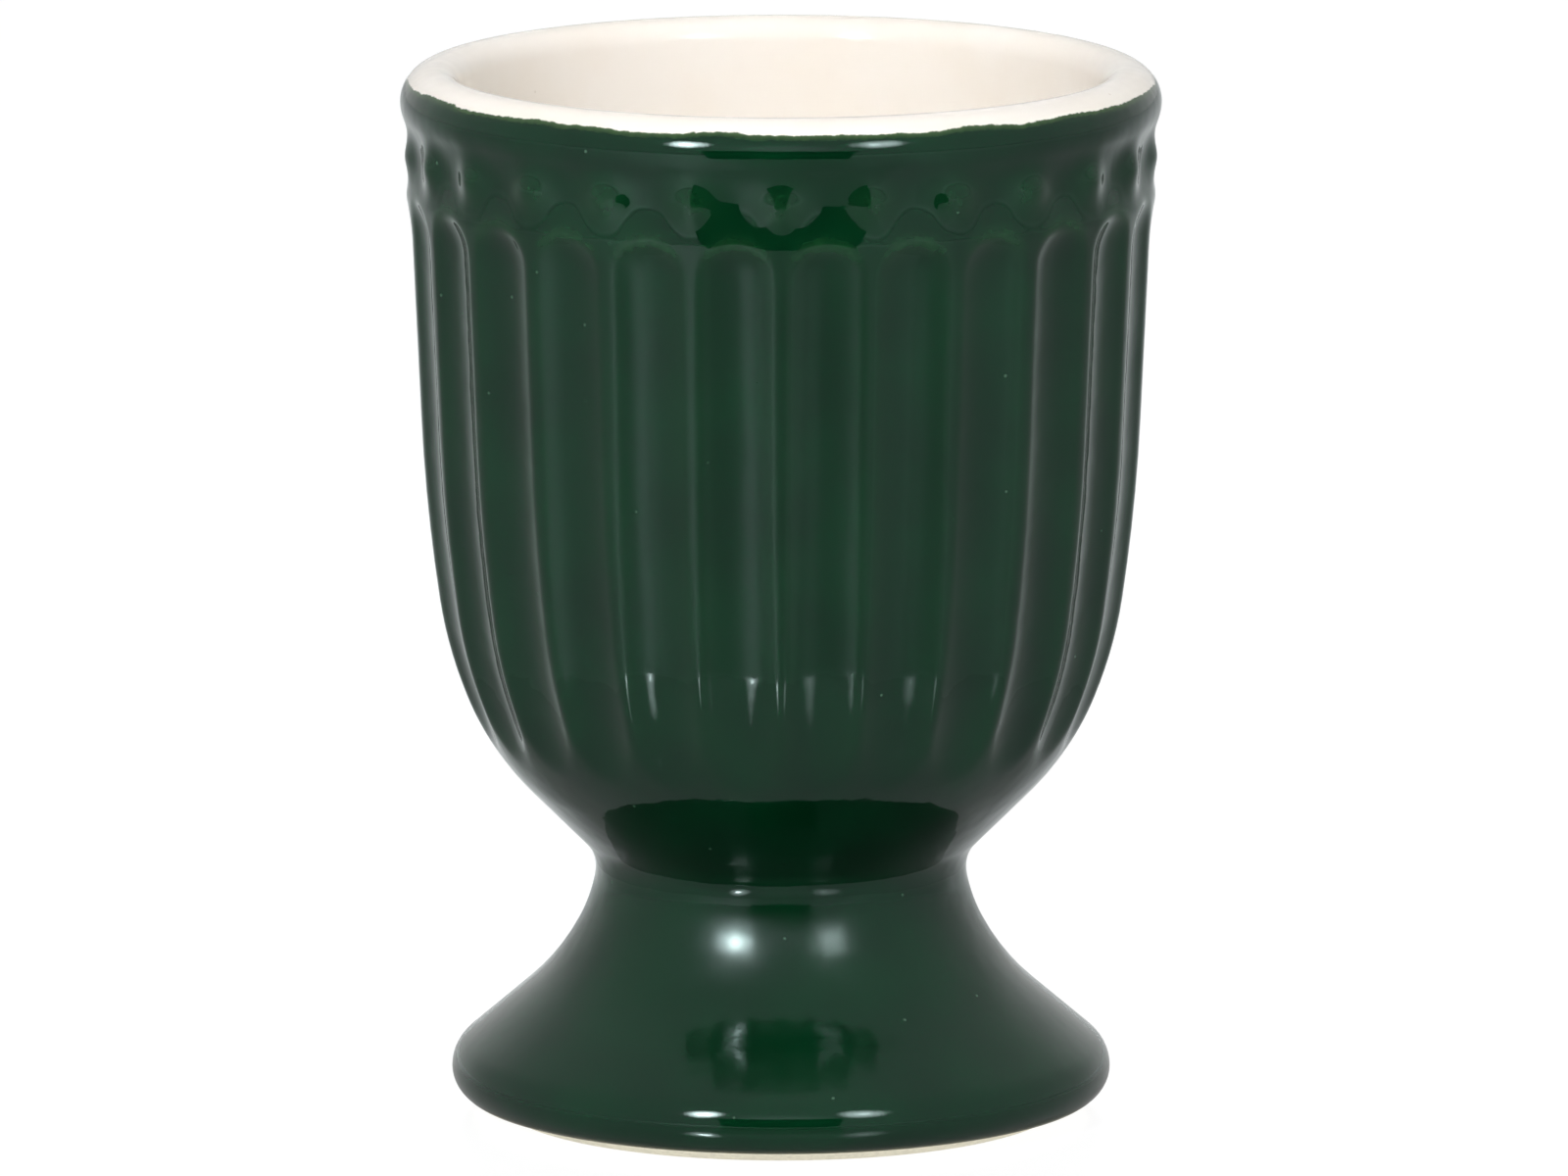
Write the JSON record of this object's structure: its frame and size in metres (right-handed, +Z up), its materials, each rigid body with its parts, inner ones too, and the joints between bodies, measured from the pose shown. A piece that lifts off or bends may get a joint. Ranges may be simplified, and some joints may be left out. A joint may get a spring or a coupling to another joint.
{
  "type": "egg cup",
  "caption": "Footed stoneware egg cup with a rolled rim, a row of beads, arched flutes, a pinched waist and a flared hollow foot, which holds one boiled egg upright.",
  "frame": {"origin": "on the table, at the middle of the standing ring under the foot", "axes": "+Z up along the cup's turning axis, +Y away from the viewer, a ridge between two flutes facing -Y"},
  "size_m": [0.0504, 0.0504, 0.07],
  "materials": {
    "stoneware": "bare fired stoneware, matt, fine grained",
    "green_glaze": "dark green gloss glaze, thinner and lighter on edges",
    "ivory_glaze": "ivory gloss glaze"
  },
  "bodies": {
    "root": {"bowl": "stoneware", "foot": "stoneware", "luting_slip": "stoneware", "green_glaze": "green_glaze", "ivory_glaze": "ivory_glaze", "underside_glaze": "ivory_glaze"}
  },
  "joints": []
}
